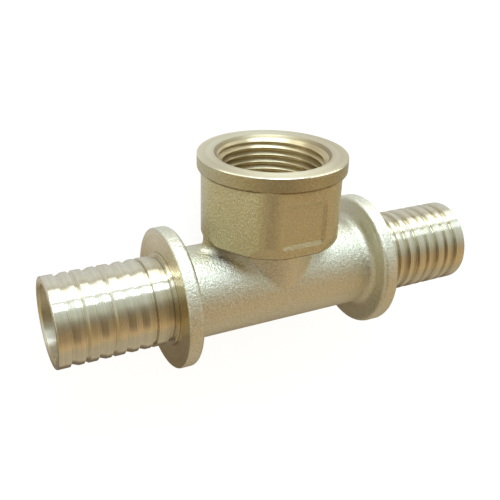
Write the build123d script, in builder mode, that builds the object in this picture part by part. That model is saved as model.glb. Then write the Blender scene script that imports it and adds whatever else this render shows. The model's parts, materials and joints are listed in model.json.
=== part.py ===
# Threaded pipe tee: one forged brass body with two ribbed tails and a threaded branch
# The run lies along X, the branch points along +Y and the panelled flat of its hexagon faces up
import math
import os

from build123d import *

# Run: both tails and the body between them
run_length = 140.0
tail_length = 34.6
run_bore_diameter = 22.5
mouth_chamfer = 0.6
body_diameter = 28.4

# Ribs on a tail, counted from its end
rib_diameter = 26.9
groove_depth = 0.8
end_land = 3.6
rib_pitch = 3.92
rib_drop = 0.25
sloped_rib_crest = 1.3
sloped_rib_ramp = 1.9
flat_rib_crest = 2.3
flat_rib_ramp = 0.9
rib_forms = ("sloped", "flat", "sloped", "flat", "sloped", "sloped")
tail_lip_round = 0.35

# Plain root of a tail, between the last groove and the collar
root_groove_width = 0.9
root_land = 3.3
root_shoulder_diameter = 28.4
root_shoulder_width = 1.0

# Collars that stop the pipe and its sleeve
collar_diameter = 43.0
collar_thickness = 4.7
collar_face_round = 0.5
collar_back_round = 1.3
collar_root_fillet = 2.4

# Branch: neck, hexagon for a spanner and round rim, at heights above the run's axis
branch_height = 41.6
neck_diameter = 28.0
neck_inset = 0.234
neck_end_radius = 2.0
neck_clearance = 0.3
saddle_fillet = 2.8
hexagon_bottom = 16.3
hexagon_across_flats = 41.0
hexagon_corner_round = 8.0
hexagon_foot_diameter = 42.0
hexagon_foot_height = 4.4
hexagon_foot_round = 0.6
rim_diameter = 45.0
rim_height = 4.8
rim_top_round = 0.35
rim_bottom_round = 1.0

# Shallow panel sunk in the upper flat of the hexagon
panel_width = 14.4
panel_length = 13.6
panel_bottom = 19.3
panel_depth = 0.45
panel_corner_round = 1.6
panel_draft = 70.0

# Parallel pipe thread, bored to its outer diameter, and the waterway under it
thread_diameter = 33.25
thread_core_diameter = 30.3
thread_length = 17.0
thread_mouth_chamfer = 0.9
waterway_diameter = 22.5
waterway_cone_height = 4.2

half_run = run_length / 2
collar_face = half_run - tail_length
collar_back = collar_face - collar_thickness
rib_radius = rib_diameter / 2
groove_radius = rib_radius - groove_depth
body_radius = body_diameter / 2
collar_radius = collar_diameter / 2
rim_bottom = branch_height - rim_height
hexagon_flat = hexagon_across_flats / 2
hexagon_top = branch_height - rim_height / 2
hexagon_corner = (hexagon_flat - hexagon_corner_round) / math.cos(math.radians(30)) + hexagon_corner_round
# The neck ends just inside the hexagon's rounded corners, its fillet clear of the collars' fillets
neck_room = collar_back - collar_root_fillet - saddle_fillet - neck_clearance
neck_reach = min(hexagon_corner - neck_inset, neck_room)
neck_top = hexagon_bottom + hexagon_foot_height
thread_bottom = branch_height - thread_length
across_branch = Plane(origin=(0, 0, 0), x_dir=(1, 0, 0), z_dir=(0, 1, 0))


def tail_outline():
    """Outer edge of the right tail in the XY plane, from its end back to the collar."""
    crests = {"sloped": sloped_rib_crest, "flat": flat_rib_crest}
    ramps = {"sloped": sloped_rib_ramp, "flat": flat_rib_ramp}
    points = [(half_run, rib_radius)]
    edge = half_run - end_land
    for form in rib_forms:
        points += [(edge, rib_radius), (edge - rib_drop, groove_radius)]
        edge -= rib_pitch
        crest_start = edge + crests[form]
        points += [(crest_start + ramps[form], groove_radius), (crest_start, rib_radius)]
    root_start = edge - rib_drop - root_groove_width
    shoulder = collar_face + root_shoulder_width
    points += [
        (edge, rib_radius),
        (edge - rib_drop, groove_radius),
        (root_start, groove_radius),
        (root_start - rib_drop, rib_radius),
        (root_start - rib_drop - root_land, rib_radius),
        (root_start - 2 * rib_drop - root_land, groove_radius),
        (shoulder, groove_radius),
        (shoulder, root_shoulder_diameter / 2),
        (collar_face, root_shoulder_diameter / 2),
    ]
    return points


def edges_at(part, axis, place):
    """Edges of the part centred at one place along an axis."""
    near = 0.01
    return part.edges().filter_by_position(axis, place - near, place + near)


def circles_at(part, axis, place):
    """Round edges of the part at one place along an axis, the smallest first."""
    return edges_at(part, axis, place).filter_by(GeomType.CIRCLE).sort_by(SortBy.RADIUS)


# Hexagon of the branch: well-rounded corners, cut back to a circle at its foot
with BuildPart() as hexagon:
    with BuildSketch(across_branch.offset(hexagon_bottom)):
        RegularPolygon(hexagon_flat, side_count=6, major_radius=False)
        fillet(vertices(), hexagon_corner_round)
    extrude(amount=hexagon_top - hexagon_bottom)
    with BuildSketch(Plane.XY):
        with BuildLine():
            Polyline(
                (0, hexagon_bottom),
                (hexagon_foot_diameter / 2, hexagon_bottom),
                (rim_diameter / 2, hexagon_bottom + hexagon_foot_height),
                (rim_diameter / 2, hexagon_top),
                (0, hexagon_top),
                close=True,
            )
        make_face()
    revolve(axis=Axis.Y, mode=Mode.INTERSECT)
    fillet(edges_at(hexagon, Axis.Y, hexagon_bottom), hexagon_foot_round)

with BuildPart() as tee_body:
    # Body, collars and ribbed tails: one turned outline, mirrored about the branch
    with BuildSketch(Plane.XY):
        with BuildLine():
            Polyline(
                (0, 0),
                (half_run, 0),
                *tail_outline(),
                (collar_face, collar_radius),
                (collar_back, collar_radius),
                (collar_back, body_radius),
                (0, body_radius),
                close=True,
            )
        make_face()
        mirror(about=Plane.YZ)
    revolve(axis=Axis.X)
    for side in (-1, 1):
        fillet(circles_at(tee_body, Axis.X, side * collar_face)[-1:], collar_face_round)
        fillet(circles_at(tee_body, Axis.X, side * collar_back)[-1:], collar_back_round)
        fillet(circles_at(tee_body, Axis.X, side * collar_back)[:1], collar_root_fillet)
        fillet(circles_at(tee_body, Axis.X, side * half_run)[-1:], tail_lip_round)

    # Neck of the branch: round, and drawn out along the run to two corners of the hexagon
    with BuildSketch(across_branch):
        Circle(neck_diameter / 2)
        with Locations((neck_end_radius - neck_reach, 0), (neck_reach - neck_end_radius, 0)):
            Circle(neck_end_radius)
        make_hull()
    extrude(amount=neck_top)
    saddle = tee_body.edges(Select.NEW).filter_by(GeomType.LINE, reverse=True)
    fillet(saddle.filter_by_position(Axis.Y, 0, body_radius), saddle_fillet)

    # Round rim, its edges eased before the hexagon's corners run into it
    with BuildSketch(across_branch.offset(rim_bottom)):
        Circle(rim_diameter / 2)
    extrude(amount=rim_height)
    fillet(circles_at(tee_body, Axis.Y, branch_height)[-1:], rim_top_round)
    fillet(circles_at(tee_body, Axis.Y, rim_bottom)[-1:], rim_bottom_round)

    add(hexagon.part)

    # Panel in the upper flat
    with BuildSketch(Plane.XY.offset(hexagon_flat)):
        with Locations((0, panel_bottom + panel_length / 2)):
            RectangleRounded(panel_width, panel_length, panel_corner_round)
    extrude(amount=-panel_depth, taper=panel_draft, mode=Mode.SUBTRACT)

    # Straight bore through the run
    with BuildSketch(Plane.YZ):
        Circle(run_bore_diameter / 2)
    extrude(amount=half_run, both=True, mode=Mode.SUBTRACT)
    for side in (-1, 1):
        chamfer(circles_at(tee_body, Axis.X, side * half_run)[:1], mouth_chamfer)

    # Threaded bore of the branch, its cone and the waterway down to the run
    with BuildSketch(Plane.XY):
        with BuildLine():
            Polyline(
                (0, 0),
                (waterway_diameter / 2, 0),
                (waterway_diameter / 2, thread_bottom - waterway_cone_height),
                (thread_core_diameter / 2, thread_bottom),
                (thread_diameter / 2, thread_bottom),
                (thread_diameter / 2, branch_height - thread_mouth_chamfer),
                (thread_diameter / 2 + thread_mouth_chamfer, branch_height),
                (0, branch_height),
                close=True,
            )
        make_face()
    revolve(axis=Axis.Y, mode=Mode.SUBTRACT)

tee_body.part.label = "tee_body"
os.makedirs("parts", exist_ok=True)
export_step(tee_body.part, "parts/tee_body.step")
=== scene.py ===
import json
import math

import bpy
from mathutils import Matrix, Vector


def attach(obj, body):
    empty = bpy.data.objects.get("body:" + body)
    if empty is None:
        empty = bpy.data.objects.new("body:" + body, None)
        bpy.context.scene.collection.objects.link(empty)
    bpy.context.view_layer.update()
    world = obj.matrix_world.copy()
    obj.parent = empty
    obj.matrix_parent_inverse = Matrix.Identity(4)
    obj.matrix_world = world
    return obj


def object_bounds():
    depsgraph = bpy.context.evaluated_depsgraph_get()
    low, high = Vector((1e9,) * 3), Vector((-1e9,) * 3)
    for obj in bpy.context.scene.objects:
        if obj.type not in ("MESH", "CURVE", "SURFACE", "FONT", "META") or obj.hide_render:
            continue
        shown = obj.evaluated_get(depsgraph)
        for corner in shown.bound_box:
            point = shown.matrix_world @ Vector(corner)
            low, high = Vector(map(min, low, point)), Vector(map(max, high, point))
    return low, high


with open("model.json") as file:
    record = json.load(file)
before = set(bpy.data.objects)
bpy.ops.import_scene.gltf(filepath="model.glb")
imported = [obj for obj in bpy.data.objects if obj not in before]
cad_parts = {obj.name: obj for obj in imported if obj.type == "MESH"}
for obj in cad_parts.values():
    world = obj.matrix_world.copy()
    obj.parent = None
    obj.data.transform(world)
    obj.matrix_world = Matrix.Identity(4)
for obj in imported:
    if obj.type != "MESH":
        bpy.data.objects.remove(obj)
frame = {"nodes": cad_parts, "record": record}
cad_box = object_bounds()
tee = frame["nodes"]["tee_body"]
mounts = {mount["name"]: mount for mount in frame["record"]["mounts"]}

# Sizes read from the part's mounts, in metres
thread_radius = mounts["branch_thread"]["dims"]["r_mm"] / 1000
thread_length = mounts["branch_thread"]["dims"]["length_mm"] / 1000
thread_top = mounts["branch_thread"]["pos_m"][1]
run_bore_radius = mounts["run_bore"]["dims"]["r_mm"] / 1000
rim_face = mounts["branch_face"]["pos_m"][1]
collar_face = mounts["right_stop_face"]["pos_m"][0]
mouth_chamfer = rim_face - thread_top
mouth_radius = thread_radius + mouth_chamfer
floor_level = cad_box[0].z

# Inch-parallel pipe thread, eleven turns to the inch
thread_pitch = 0.0254 / 11
thread_depth = 0.001479
flank_angle = math.radians(27.5)

# Ridge of the thread: its root reaches into the wall, and it starts a little below the thread
flanks_in_wall = 0.0002
root_behind_flanks = 0.0003
start_below = 0.4 * thread_pitch
crest_round = 0.00038
crest_segments = 5
steps_per_turn = 96
cutter_sides = 192

# Places on the tee, in metres, where the skin changes
near = 0.00005
collar_root_radius = 0.0143
rim_height = 0.0048
rim_edge = 0.0004
rim_bottom = rim_face - rim_height
rim_round = 0.0010
rim_side_edge = 0.0215
hexagon_bottom = 0.0163
foot_round = 0.0006
foot_edge = 0.0190
panel_bottom = 0.0190
panel_top = 0.0335
panel_half_width = 0.0074

# Share of a face's normal along one axis, from which it leans that way, clearly or almost wholly
leaning = 0.2
clearly_up = 0.5
nearly_up = 0.9

# Camera, fitted to the photograph with the branch pointing up the picture
camera_turn = math.radians(-27.52)
camera_lift = math.radians(26.25)
camera_roll = math.radians(1.90)
camera_distance = 0.23293
aim_right = 0.00553
aim_up = -0.00835
lens_mm = 52.34
nearest_seen = 0.01


def deselect():
    """Leave object mode with nothing selected and nothing active."""
    if bpy.context.object and bpy.context.object.mode != "OBJECT":
        bpy.ops.object.mode_set(mode="OBJECT")
    bpy.ops.object.select_all(action="DESELECT")
    bpy.context.view_layer.objects.active = None


def apply_place():
    """Put the active object's place, turn and scale into its mesh."""
    bpy.ops.object.transform_apply(location=True, rotation=True, scale=True)


# Camera
def make_camera():
    """Camera at the photograph's angle: the run lies along X and the branch, along Y, points up."""
    along_run = Vector((1, 0, 0))
    along_branch = Vector((0, 1, 0))
    out_of_floor = Vector((0, 0, 1))
    back = (
        math.sin(camera_turn) * math.cos(camera_lift) * along_run
        + math.sin(camera_lift) * along_branch
        + math.cos(camera_turn) * math.cos(camera_lift) * out_of_floor
    )
    right = (-back).cross(along_branch).normalized()
    roll = Matrix.Rotation(camera_roll, 3, back)
    right = roll @ right
    up = back.cross(right)
    place = camera_distance * back - aim_right * right - aim_up * up
    camera = bpy.data.objects.new("camera", bpy.data.cameras.new("camera"))
    bpy.context.scene.collection.objects.link(camera)
    camera.matrix_world = Matrix.Translation(place) @ Matrix((right, up, back)).transposed().to_4x4()
    camera.data.lens = lens_mm
    camera.data.clip_start = nearest_seen
    bpy.context.scene.camera = camera


make_camera()


class Nodes:
    """A node tree, filled one node at a time."""

    def __init__(self, tree):
        self.tree = tree
        self.tree.nodes.clear()

    def add(self, kind, inputs=None, **settings):
        """A new node. Each input is a value or the output of another node."""
        node = self.tree.nodes.new(kind)
        for key, value in settings.items():
            setattr(node, key, value)
        for key, value in (inputs or {}).items():
            if isinstance(value, bpy.types.NodeSocket):
                self.tree.links.new(value, node.inputs[key])
            else:
                node.inputs[key].default_value = value
        return node

    def math(self, operation, first, second=0.0):
        return self.add("ShaderNodeMath", {0: first, 1: second}, operation=operation).outputs[0]

    def vector(self, operation, first, second=(0.0, 0.0, 0.0)):
        return self.add("ShaderNodeVectorMath", {0: first, 1: second}, operation=operation).outputs[0]

    def length(self, vector):
        return self.add("ShaderNodeVectorMath", {0: vector}, operation="LENGTH").outputs["Value"]

    def parts(self, vector):
        """The X, Y and Z of a vector."""
        return self.add("ShaderNodeSeparateXYZ", {0: vector}).outputs

    def noise(self, place, scale, detail=3.0, roughness=0.5):
        inputs = {"Vector": place, "Scale": scale, "Detail": detail, "Roughness": roughness}
        return self.add("ShaderNodeTexNoise", inputs).outputs["Fac"]

    def noise_along(self, distance, scale, detail=2.0):
        inputs = {"W": distance, "Scale": scale, "Detail": detail}
        return self.add("ShaderNodeTexNoise", inputs, noise_dimensions="1D").outputs["Fac"]

    def spread(self, value, low, high, to_low=0.0, to_high=1.0):
        """A value from one range carried into another, smoothly, and held at its ends."""
        inputs = {"Value": value, "From Min": low, "From Max": high, "To Min": to_low, "To Max": to_high}
        node = self.add("ShaderNodeMapRange", inputs, interpolation_type="SMOOTHSTEP")
        return node.outputs["Result"]

    def spread_evenly(self, value, low, high):
        """A value from one range carried evenly into 0 to 1."""
        inputs = {"Value": value, "From Min": low, "From Max": high}
        return self.add("ShaderNodeMapRange", inputs).outputs["Result"]

    def mix(self, factor, first, second):
        """One colour taken over to a second. Inputs 6 and 7 of the node are its colours."""
        return self.add("ShaderNodeMix", {0: factor, 6: first, 7: second}, data_type="RGBA").outputs[2]

    def ramp(self, value, stops):
        """Colours at places from 0 to 1, joined by straight lines."""
        node = self.add("ShaderNodeValToRGB", {0: value})
        elements = node.color_ramp.elements
        while len(elements) < len(stops):
            elements.new(1.0)
        for element, (place, colour) in zip(elements, stops):
            element.position = place
            element.color = (*colour, 1.0)
        return node.outputs["Color"]

    def bump(self, height, distance, normal=None):
        inputs = {"Height": height, "Distance": distance}
        if normal is not None:
            inputs["Normal"] = normal
        return self.add("ShaderNodeBump", inputs).outputs["Normal"]


def new_material(name):
    material = bpy.data.materials.new(name)
    material.use_nodes = True
    return material, Nodes(material.node_tree)


def finish_material(material, nodes, shader):
    nodes.add("ShaderNodeOutputMaterial", {"Surface": shader})
    return material


# Metal colours, linear: the mean, a lighter and a darker tone
blasted_tones = ((0.80, 0.77, 0.60, 1.0), (0.94, 0.92, 0.79, 1.0), (0.55, 0.50, 0.34, 1.0))
# Painted shade: a darker copy of the blasted tones for the rim's outer wall
rim_side_shade_tones = ((0.55, 0.47, 0.28, 1.0), (0.66, 0.58, 0.38, 1.0), (0.39, 0.32, 0.17, 1.0))
# Painted shade: a darker copy of the blasted tones for the panel's lower and right slopes
slope_shade_tones = ((0.72, 0.64, 0.40, 1.0), (0.80, 0.72, 0.48, 1.0), (0.58, 0.50, 0.29, 1.0))
# Painted shade: a darker copy of the turned tones for the mouth's chamfer
chamfer_shade_tones = ((0.40, 0.33, 0.20, 1.0), (0.48, 0.40, 0.26, 1.0), (0.30, 0.24, 0.13, 1.0))
# Painted shade for the undersides of the rim and of the hexagon's foot
shaded_tones = ((0.32, 0.24, 0.13, 1.0), (0.40, 0.31, 0.18, 1.0), (0.20, 0.14, 0.07, 1.0))
turned_tones = ((0.78, 0.73, 0.57, 1.0), (0.87, 0.83, 0.69, 1.0), (0.61, 0.54, 0.36, 1.0))
rim_face_tones = ((0.77, 0.71, 0.51, 1.0), (0.86, 0.80, 0.62, 1.0), (0.61, 0.53, 0.34, 1.0))
collar_tones = ((0.76, 0.66, 0.43, 1.0), (0.85, 0.75, 0.53, 1.0), (0.60, 0.50, 0.29, 1.0))
# Painted light: a lighter copy of the turned tones for the bores
bore_lit_tones = ((0.96, 0.88, 0.68, 1.0), (1.00, 0.95, 0.80, 1.0), (0.84, 0.74, 0.52, 1.0))
thread_tones = ((0.72, 0.61, 0.38, 1.0), (0.82, 0.72, 0.48, 1.0), (0.57, 0.46, 0.26, 1.0))

# Painted shade: darker tones of grooves and inner corners, and how far a surface looks for the walls that
# close it in
blasted_crevice_shade = (0.22, 0.16, 0.09, 1.0)
turned_crevice_shade = (0.30, 0.24, 0.15, 1.0)
thread_crevice_shade = (0.42, 0.32, 0.17, 1.0)
blasted_reach = 0.004
turned_reach = 0.0005
closed_in = 0.35
wide_open = 0.90
openness_samples = 8

# Painted warm shade: the blasted colour is taken darker and yellower from the neck up and near the branch's
# axis
branch_warm_shade = (0.86, 0.80, 0.65)
no_warm_shade = (1.0, 1.0, 1.0)
neck_heights = (0.011, 0.018)
branch_radii = (0.0235, 0.0275)

# Grain of the blasted skin: waves to a metre, heights in metres
grain_scale = 2600
dent_scale = 1100
patch_scale = 60
grain_height = 0.00014
dent_height = 0.00016
blasted_roughness = (0.38, 0.50)

# Rings that the lathe leaves: waves to a metre, height in metres
fine_ring_scale = 2600
broad_ring_scale = 700
ring_height = 0.000004
mean_share = 0.75
quarter_turn = 0.25

# Spans of the noises, and the share of the mean tone from patch to patch
noise_span = (0.3, 0.7)
patch_span = (0.35, 0.65)
patch_share = (0.3, 0.6)


def paint_crevice_shade(nodes, colour, reach, crevice_shade):
    """The colour with painted shade, darker in grooves and inner corners, where walls close in within a short
    reach.
    """
    inputs = {"Distance": reach}
    openness = nodes.add("ShaderNodeAmbientOcclusion", inputs, samples=openness_samples).outputs["AO"]
    return nodes.mix(nodes.spread(openness, closed_in, wide_open), crevice_shade, colour)


def paint_branch_warm_shade(nodes, colour, place, warm_shade):
    """The colour with painted warm shade, taken over to a darker, yellower one from the neck of the branch
    upwards.
    """
    height = nodes.parts(place)["Y"]
    across = nodes.vector("MULTIPLY", place, (1.0, 0.0, 1.0))
    above_body = nodes.spread(height, *neck_heights)
    near_axis = nodes.spread(nodes.length(across), *branch_radii, 1.0, 0.0)
    on_branch = nodes.math("MULTIPLY", above_body, near_axis)
    return nodes.mix(on_branch, colour, nodes.vector("MULTIPLY", colour, warm_shade))


def blasted_brass(name, tones, warm_shade=no_warm_shade):
    """Forged skin, shot-blasted to an even matte grain, with painted shade in its crevices and painted warm
    shade on the branch when given.
    """
    mean, light, dark = tones
    material, n = new_material(name)
    place = n.add("ShaderNodeTexCoord").outputs["Object"]
    grain = n.noise(place, grain_scale, 3.0, 0.6)
    dents = n.noise(place, dent_scale, 2.0, 0.5)
    patches = n.noise(place, patch_scale, 3.0, 0.5)
    tone = n.mix(n.spread(grain, *noise_span), dark, light)
    colour = n.mix(n.spread(patches, *patch_span, *patch_share), tone, mean)
    colour = paint_branch_warm_shade(n, colour, place, warm_shade)
    colour = paint_crevice_shade(n, colour, blasted_reach, blasted_crevice_shade)
    normal = n.bump(dents, dent_height)
    inputs = {
        "Base Color": colour,
        "Metallic": 1.0,
        "Roughness": n.spread(dents, *noise_span, *blasted_roughness),
        "Normal": n.bump(grain, grain_height, normal=normal),
    }
    return finish_material(material, n, n.add("ShaderNodeBsdfPrincipled", inputs).outputs[0])


def turned_brass(name, axis, tones, crevice_shade, roughness, brushing):
    """Skin cut on a lathe: fine rings round one axis, on the round walls and on the faces across it. Its
    crevices get painted shade.
    """
    mean, light, dark = tones
    material, n = new_material(name)
    place = n.add("ShaderNodeTexCoord").outputs["Object"]
    axis_vector = tuple(1.0 if letter == axis else 0.0 for letter in "XYZ")
    across_axis = tuple(1.0 - value for value in axis_vector)
    across = n.vector("MULTIPLY", place, across_axis)
    ring = n.math("ADD", n.parts(place)[axis], n.length(across))
    fine = n.noise_along(ring, fine_ring_scale)
    broad = n.noise_along(ring, broad_ring_scale)
    tone = n.mix(n.spread(broad, *noise_span), dark, light)
    colour = n.mix(mean_share, tone, mean)
    inputs = {
        "Base Color": paint_crevice_shade(n, colour, turned_reach, crevice_shade),
        "Metallic": 1.0,
        "Roughness": n.spread(fine, *noise_span, *roughness),
        "Normal": n.bump(fine, ring_height),
        "Anisotropic": brushing,
        "Anisotropic Rotation": quarter_turn,
        "Tangent": n.vector("CROSS_PRODUCT", axis_vector, place),
    }
    return finish_material(material, n, n.add("ShaderNodeBsdfPrincipled", inputs).outputs[0])


# Skins of the tee, in the order of its material slots
skins = {
    "blasted": blasted_brass("blasted_brass", blasted_tones, branch_warm_shade),
    "tail": turned_brass("turned_tail_brass", "X", turned_tones, turned_crevice_shade, (0.24, 0.30), 1.0),
    "bore": turned_brass("turned_bore_lit_brass", "X", bore_lit_tones, turned_crevice_shade, (0.34, 0.42), 0.8),
    "rim face": turned_brass("turned_rim_brass", "Y", rim_face_tones, turned_crevice_shade, (0.28, 0.33), 0.75),
    "thread": turned_brass("turned_thread_brass", "Y", thread_tones, thread_crevice_shade, (0.32, 0.40), 0.8),
    "undercut": blasted_brass("shaded_brass", shaded_tones),
    "panel slope": blasted_brass("slope_shaded_brass", slope_shade_tones),
    "rim side": blasted_brass("rim_side_shaded_brass", rim_side_shade_tones),
    "chamfer": turned_brass("mouth_chamfer_shaded_brass", "Y", chamfer_shade_tones, thread_crevice_shade, (0.40, 0.50), 0.0),
    "collar": turned_brass("turned_collar_brass", "X", collar_tones, turned_crevice_shade, (0.24, 0.30), 1.0),
}


def is_undercut(polygon):
    """Whether a face is on the underside of the rim or of the hexagon's foot, which wears painted shade."""
    x, y, z = polygon.center
    under_foot = hexagon_bottom - near < y < hexagon_bottom + foot_round
    under_rim = rim_bottom - near < y < rim_bottom + rim_round
    outside = math.hypot(x, z) > foot_edge
    return (under_foot or under_rim) and outside and polygon.normal.y < -leaning


def is_panel_slope(polygon):
    """Whether a face is on the lower or the right slope of the panel, which wears painted shade."""
    x, y, z = polygon.center
    in_panel = abs(x) < panel_half_width and panel_bottom < y < panel_top
    return in_panel and z > foot_edge and (polygon.normal.y > leaning or polygon.normal.x < -leaning)


def is_rim_side(polygon):
    """Whether a face is on the outer wall of the rim, which wears painted shade."""
    x, y, z = polygon.center
    return y > rim_bottom and math.hypot(x, z) > rim_side_edge and abs(polygon.normal.y) < nearly_up


def skin_of(polygon):
    """The name of the skin that a face of the tee wears."""
    x, y, z = polygon.center
    from_run = math.hypot(y, z)
    from_branch = math.hypot(x, z)
    faces_branch_axis = polygon.normal.x * x + polygon.normal.z * z < 0
    if from_run < run_bore_radius + near:
        return "bore"
    if abs(x) > collar_face - near:
        on_collar = abs(x) < collar_face + near and from_run > collar_root_radius
        return "collar" if on_collar else "tail"
    if y > rim_face - rim_edge and from_branch > mouth_radius - near:
        return "rim face"
    if faces_branch_axis and from_branch < mouth_radius and y > run_bore_radius:
        on_chamfer = y > thread_top and polygon.normal.y > clearly_up
        return "chamfer" if on_chamfer else "thread"
    if is_undercut(polygon):
        return "undercut"
    if is_panel_slope(polygon):
        return "panel slope"
    if is_rim_side(polygon):
        return "rim side"
    return "blasted"


def dress_tee():
    """Turned skin on the tails, collar faces, bores and rim face, blasted skin on the forged body."""
    mesh = tee.data
    mesh.materials.clear()
    for material in skins.values():
        mesh.materials.append(material)
    slots = {name: slot for slot, name in enumerate(skins)}
    for polygon in mesh.polygons:
        polygon.material_index = slots[skin_of(polygon)]


dress_tee()


# Thread ridge
def thread_ridge():
    """The female thread's ridge, wound round the branch and trimmed by the mouth's chamfer."""
    wall = thread_radius + flanks_in_wall
    half_base = thread_pitch / 4 + (wall - (thread_radius - thread_depth / 2)) * math.tan(flank_angle)
    crest = wall - half_base / math.tan(flank_angle)
    start = thread_top - thread_length - start_below
    deselect()
    bpy.ops.mesh.primitive_circle_add(vertices=4, radius=1.0)
    ridge = bpy.context.object
    ridge.name = "branch_thread_ridge"
    corners = {
        "crest": Vector((crest, 0, 0)),
        "upper": Vector((wall, half_base, 0)),
        "back": Vector((wall + root_behind_flanks, 0, 0)),
        "lower": Vector((wall, -half_base, 0)),
    }
    for vertex, place in zip(ridge.data.vertices, corners.values()):
        vertex.co = place + Vector((0, start, 0))
    bpy.ops.object.mode_set(mode="EDIT")
    bpy.ops.mesh.select_all(action="DESELECT")
    bpy.ops.object.mode_set(mode="OBJECT")
    ridge.data.vertices[0].select = True
    bpy.ops.object.mode_set(mode="EDIT")
    bpy.ops.mesh.select_mode(type="VERT")
    bpy.ops.mesh.bevel(offset=crest_round, segments=crest_segments, affect="VERTICES")
    bpy.ops.object.mode_set(mode="OBJECT")
    screw = ridge.modifiers.new("turns", "SCREW")
    screw.axis = "Y"
    screw.angle = 2 * math.pi
    screw.screw_offset = thread_pitch
    screw.iterations = math.ceil((rim_face - start) / thread_pitch)
    screw.steps = steps_per_turn
    screw.render_steps = steps_per_turn
    screw.use_normal_calculate = True
    bpy.ops.object.modifier_apply(modifier="turns")
    bpy.ops.object.mode_set(mode="EDIT")
    bpy.ops.mesh.select_all(action="SELECT")
    bpy.ops.mesh.fill_holes(sides=0)
    bpy.ops.mesh.normals_make_consistent(inside=False)
    bpy.ops.object.mode_set(mode="OBJECT")
    trim_at_mouth(ridge)
    bpy.ops.object.shade_smooth_by_angle(angle=math.radians(30))
    ridge.data.materials.append(skins["thread"])
    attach(ridge, "root")
    return ridge


def trim_at_mouth(ridge):
    """Cut away the part of the ridge that the mouth's chamfer and the rim's face take off."""
    cut_depth = 0.006
    above = 0.003
    inside_metal = 0.00003
    cut_radius = mouth_radius + inside_metal
    bpy.ops.object.select_all(action="DESELECT")
    bpy.ops.mesh.primitive_cone_add(
        vertices=cutter_sides,
        radius1=cut_radius - cut_depth,
        radius2=cut_radius + above,
        depth=cut_depth + above,
        location=(0, rim_face + (above - cut_depth) / 2, 0),
        rotation=(math.radians(-90), 0, 0),
    )
    cutter = bpy.context.object
    apply_place()
    deselect()
    ridge.select_set(True)
    bpy.context.view_layer.objects.active = ridge
    trim = ridge.modifiers.new("trim", "BOOLEAN")
    trim.operation = "DIFFERENCE"
    trim.object = cutter
    bpy.ops.object.modifier_apply(modifier="trim")
    bpy.data.objects.remove(cutter)


thread_ridge()

# Floor: its paint for the shadow, its glow to the camera, and a painted reflection in the metal: a glow and a
# darker paint that only the metal sees
floor_size = 6.0
floor_glow = 0.84
floor_paint = (0.40, 0.40, 0.40, 1.0)
floor_reflection_shade_paint = (0.22, 0.20, 0.18, 1.0)
reflection_glow_start = -0.20
reflection_glow_end = 0.10

# Soft boxes beyond the branch's mouth, one low and one high, both aimed at the tee
lamp_colour = (0.62, 0.78, 1.0)
lamp_aim = (0, 0, 0)
lamp_width = 0.58

# Room light, and its darker place overhead
white = (1.0, 1.0, 1.0, 1.0)
warm_wall = (0.76, 0.66, 0.30, 1.0)
dull_under = (0.50, 0.44, 0.35, 1.0)
dark_overhead = (0.17, 0.13, 0.09, 1.0)
overhead_direction = (-0.35, -0.12, 0.93)


def make_floor():
    """Pale floor, near white to the camera, its shadow kept; the metal sees a painted reflection: a glow,
    brighter behind the branch, over a darker paint.
    """
    deselect()
    bpy.ops.mesh.primitive_plane_add(size=floor_size, location=(0, 0, floor_level))
    floor = bpy.context.object
    floor.name = "floor"
    apply_place()
    material, n = new_material("pale_floor")
    rays = n.add("ShaderNodeLightPath").outputs
    seen = n.math("MAXIMUM", rays["Is Camera Ray"], rays["Is Transmission Ray"])
    beyond = n.parts(n.add("ShaderNodeTexCoord").outputs["Object"])["Y"]
    # Painted reflection: a glow that only glossy rays see, bright behind the branch and dark in front of the
    # tee
    painted_reflection_half_glow = n.ramp(n.spread_evenly(beyond, reflection_glow_start, reflection_glow_end), (
        (0.00, (0.22, 0.19, 0.15)),
        (0.20, (0.16, 0.14, 0.11)),
        (0.40, (0.03, 0.02, 0.01)),
        (0.56, (0.06, 0.05, 0.04)),
        (0.665, (0.19, 0.16, 0.12)),
        (0.72, (0.29, 0.31, 0.34)),
        (0.80, (0.34, 0.36, 0.38)),
        (0.86, (0.26, 0.26, 0.25)),
        (0.91, (0.26, 0.26, 0.26)),
        (0.945, (0.92, 0.98, 1.00)),
    ))
    # Painted shade in reflections: the metal sees a darker floor paint than the camera
    paint_with_reflection_shade = n.mix(rays["Is Glossy Ray"], floor_paint, floor_reflection_shade_paint)
    matte = n.add("ShaderNodeBsdfDiffuse", {"Color": paint_with_reflection_shade}).outputs[0]
    seen_glow = {"Color": white, "Strength": n.math("MULTIPLY", seen, floor_glow)}
    painted_reflection_glow = {"Color": painted_reflection_half_glow, "Strength": n.math("MULTIPLY", rays["Is Glossy Ray"], 2.0)}
    to_camera = n.add("ShaderNodeEmission", seen_glow).outputs[0]
    painted_reflection = n.add("ShaderNodeEmission", painted_reflection_glow).outputs[0]
    camera_glow_and_painted_reflection = n.add("ShaderNodeAddShader", {0: to_camera, 1: painted_reflection}).outputs[0]
    both = n.add("ShaderNodeAddShader", {0: matte, 1: camera_glow_and_painted_reflection}).outputs[0]
    floor.data.materials.append(finish_material(material, n, both))


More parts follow.
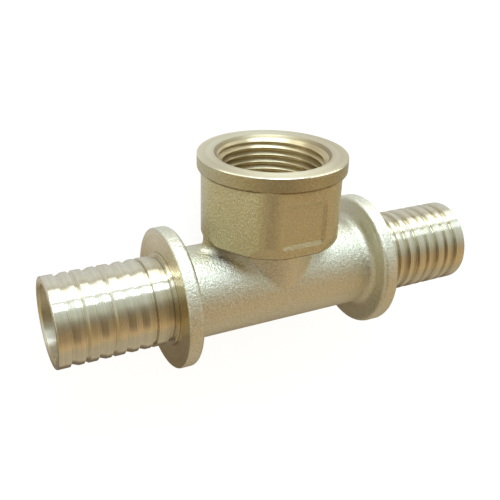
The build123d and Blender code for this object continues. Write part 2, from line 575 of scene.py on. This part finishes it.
def make_sky():
    """Soft room light: pale behind the branch, warmer on the other side, and darker overhead."""
    world = bpy.data.worlds.new("studio")
    bpy.context.scene.world = world
    world.use_nodes = True
    n = Nodes(world.node_tree)
    direction = n.add("ShaderNodeTexCoord").outputs["Generated"]
    parts = n.parts(direction)
    behind_branch = n.ramp(parts["Z"], (
        (0.00, (0.80, 0.86, 0.86)),
        (0.60, (0.70, 0.78, 0.80)),
        (0.83, (0.54, 0.56, 0.50)),
        (0.90, (0.34, 0.31, 0.24)),
        (1.00, (0.18, 0.14, 0.09)),
    ))
    before_body = n.ramp(parts["Z"], (
        (0.00, (0.56, 0.48, 0.28)),
        (0.12, (0.49, 0.41, 0.25)),
        (0.30, (0.47, 0.37, 0.22)),
        (0.55, (0.64, 0.47, 0.29)),
        (0.86, (0.66, 0.48, 0.28)),
        (1.00, (0.34, 0.25, 0.14)),
    ))
    left_wall = n.mix(n.spread(parts["X"], -0.97, -0.80), warm_wall, before_body)
    under_body = n.mix(n.spread(parts["Y"], -0.92, -0.6), dull_under, left_wall)
    colour = n.mix(n.spread(parts["Y"], -0.2, 0.25), under_body, behind_branch)
    inputs = {0: direction, 1: overhead_direction}
    overhead = n.add("ShaderNodeVectorMath", inputs, operation="DOT_PRODUCT").outputs["Value"]
    colour = n.mix(n.spread(overhead, 0.76, 0.96), colour, dark_overhead)
    seen = n.add("ShaderNodeLightPath").outputs["Is Camera Ray"]
    background = {"Color": n.mix(seen, colour, white), "Strength": 1.0}
    surface = n.add("ShaderNodeBackground", background).outputs[0]
    n.add("ShaderNodeOutputWorld", {"Surface": surface})


def softbox(name, place, height, power):
    """A large soft lamp, aimed at the tee."""
    lamp = bpy.data.objects.new(name, bpy.data.lights.new(name, "AREA"))
    bpy.context.scene.collection.objects.link(lamp)
    lamp.data.shape = "RECTANGLE"
    lamp.data.size = lamp_width
    lamp.data.size_y = height
    lamp.data.energy = power
    lamp.data.color = lamp_colour
    lamp.location = place
    lamp.rotation_euler = (Vector(lamp_aim) - Vector(place)).to_track_quat("-Z", "Y").to_euler()


make_floor()
make_sky()
softbox("low_softbox", (0.02, 0.75, 0.06), height=0.20, power=3.5)
softbox("high_softbox", (0.02, 0.75, 0.41), height=0.22, power=2.2)

bpy.context.scene.view_settings.view_transform = "Standard"
